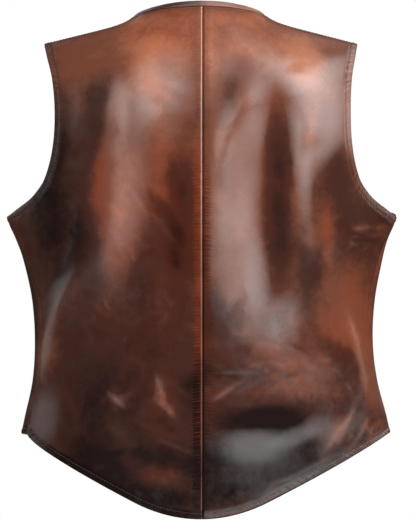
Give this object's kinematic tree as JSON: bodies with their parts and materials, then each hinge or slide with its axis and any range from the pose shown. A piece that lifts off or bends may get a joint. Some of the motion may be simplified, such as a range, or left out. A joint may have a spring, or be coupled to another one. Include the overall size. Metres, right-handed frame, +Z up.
{
  "type": "leather vest",
  "caption": "Sleeveless hip-length leather vest with a V neck, a centre back seam and a rounded back tail, held in the hollow shape it has when worn.",
  "frame": {"origin": "midway between the two shoulder seams at the neck, where a wearer's shoulders carry the vest", "axes": "+Z up along the body, +Y out of the back, +X to the wearer's left"},
  "size_m": [0.4808, 0.2369, 0.6273],
  "materials": {
    "back_leather": "burnished, glossy",
    "front_leather": "burnished, glossy",
    "band_leather": "waxed, satin",
    "snap_metal": "antique, satin"
  },
  "bodies": {
    "root": {"back_left": "back_leather", "back_right": "back_leather", "front_left": "front_leather", "front_right": "front_leather", "neck_band": "band_leather", "snap_cap_1": "snap_metal", "snap_cap_2": "snap_metal", "snap_cap_3": "snap_metal", "snap_cap_4": "snap_metal", "snap_cap_5": "snap_metal"}
  },
  "joints": []
}
